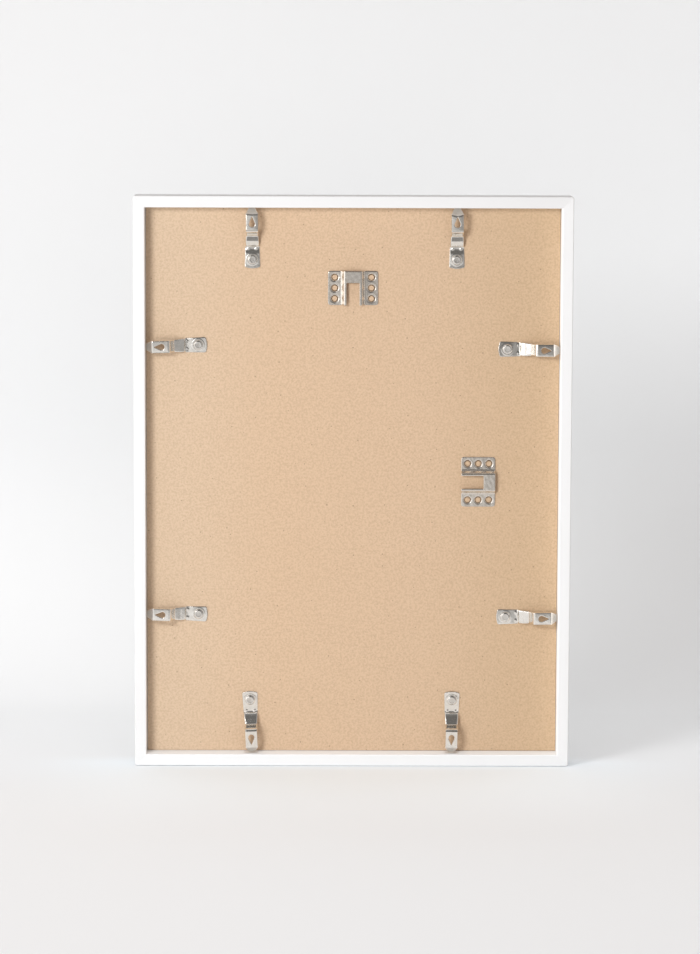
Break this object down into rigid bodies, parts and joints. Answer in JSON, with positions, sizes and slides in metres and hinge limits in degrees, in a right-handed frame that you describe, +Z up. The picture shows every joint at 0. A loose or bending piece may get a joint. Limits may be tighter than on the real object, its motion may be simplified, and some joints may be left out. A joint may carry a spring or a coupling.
{
  "type": "wooden picture frame",
  "caption": "White mitred wooden picture frame with glazing and a hardboard back panel, held by riveted steel turn clips, with pressed hangers for upright and sideways hanging.",
  "frame": {"origin": "middle of the bottom rail's lower face, centred in width and depth", "axes": "+Z up with the frame upright, +Y towards the back that hangs against the wall, -Y towards the viewer, +X to the left as seen from the back"},
  "size_m": [0.32, 0.025, 0.42],
  "materials": {
    "white_paint": "white satin paint on wood",
    "nail_steel": "plain rolled steel",
    "clear_glass": "clear float glass",
    "plain_paper": "matt off-white paper",
    "hardboard": "smooth tan hardboard with fine fibres",
    "clip_steel": "bright nickel-plated spring steel",
    "hanger_steel": "zinc-plated steel"
  },
  "bodies": {
    "frame": {"rail_top": "white_paint", "rail_left": "white_paint", "rail_bottom": "white_paint", "rail_right": "white_paint", "wedge_nail_top_left_1": "nail_steel", "wedge_nail_top_left_2": "nail_steel", "wedge_nail_bottom_left_1": "nail_steel", "wedge_nail_bottom_left_2": "nail_steel", "wedge_nail_bottom_right_1": "nail_steel", "wedge_nail_bottom_right_2": "nail_steel", "wedge_nail_top_right_1": "nail_steel", "wedge_nail_top_right_2": "nail_steel", "glazing": "clear_glass", "print_sheet": "plain_paper"},
    "panel": {"back_panel": "hardboard", "hanger_portrait": "hanger_steel", "hanger_landscape": "hanger_steel", "rivet_top_left": "clip_steel", "rivet_top_right": "clip_steel", "rivet_left_upper": "clip_steel", "rivet_left_lower": "clip_steel", "rivet_bottom_left": "clip_steel", "rivet_bottom_right": "clip_steel", "rivet_right_upper": "clip_steel", "rivet_right_lower": "clip_steel"},
    "clip_top_left": {"turn_clip_top_left": "clip_steel"},
    "clip_top_right": {"turn_clip_top_right": "clip_steel"},
    "clip_left_upper": {"turn_clip_left_upper": "clip_steel"},
    "clip_left_lower": {"turn_clip_left_lower": "clip_steel"},
    "clip_bottom_left": {"turn_clip_bottom_left": "clip_steel"},
    "clip_bottom_right": {"turn_clip_bottom_right": "clip_steel"},
    "clip_right_upper": {"turn_clip_right_upper": "clip_steel"},
    "clip_right_lower": {"turn_clip_right_lower": "clip_steel"}
  },
  "joints": [
    {"name": "panel_lift_out", "type": "slide", "parent": "frame", "child": "panel", "axis": [0, 1, 0], "range_m": [0, 0.06]},
    {"name": "clip_turn_top_left", "type": "hinge", "parent": "panel", "child": "clip_top_left", "pos_m": [0.0735, -0.00275, 0.37325], "axis": [0, 1, 0], "range_deg": [-180, 180]},
    {"name": "clip_turn_top_right", "type": "hinge", "parent": "panel", "child": "clip_top_right", "pos_m": [-0.07575, -0.00275, 0.37325], "axis": [0, 1, 0], "range_deg": [-180, 180]},
    {"name": "clip_turn_left_upper", "type": "hinge", "parent": "panel", "child": "clip_left_upper", "pos_m": [0.11325, -0.00275, 0.3105], "axis": [0, 1, 0], "range_deg": [-180, 180]},
    {"name": "clip_turn_left_lower", "type": "hinge", "parent": "panel", "child": "clip_left_lower", "pos_m": [0.11325, -0.00275, 0.11125], "axis": [0, 1, 0], "range_deg": [-180, 180]},
    {"name": "clip_turn_bottom_left", "type": "hinge", "parent": "panel", "child": "clip_bottom_left", "pos_m": [0.07525, -0.00275, 0.04675], "axis": [0, 1, 0], "range_deg": [-180, 180]},
    {"name": "clip_turn_bottom_right", "type": "hinge", "parent": "panel", "child": "clip_bottom_right", "pos_m": [-0.07425, -0.00275, 0.04675], "axis": [0, 1, 0], "range_deg": [-180, 180]},
    {"name": "clip_turn_right_upper", "type": "hinge", "parent": "panel", "child": "clip_right_upper", "pos_m": [-0.11325, -0.00275, 0.308], "axis": [0, 1, 0], "range_deg": [-180, 180]},
    {"name": "clip_turn_right_lower", "type": "hinge", "parent": "panel", "child": "clip_right_lower", "pos_m": [-0.11325, -0.00275, 0.1095], "axis": [0, 1, 0], "range_deg": [-180, 180]}
  ]
}
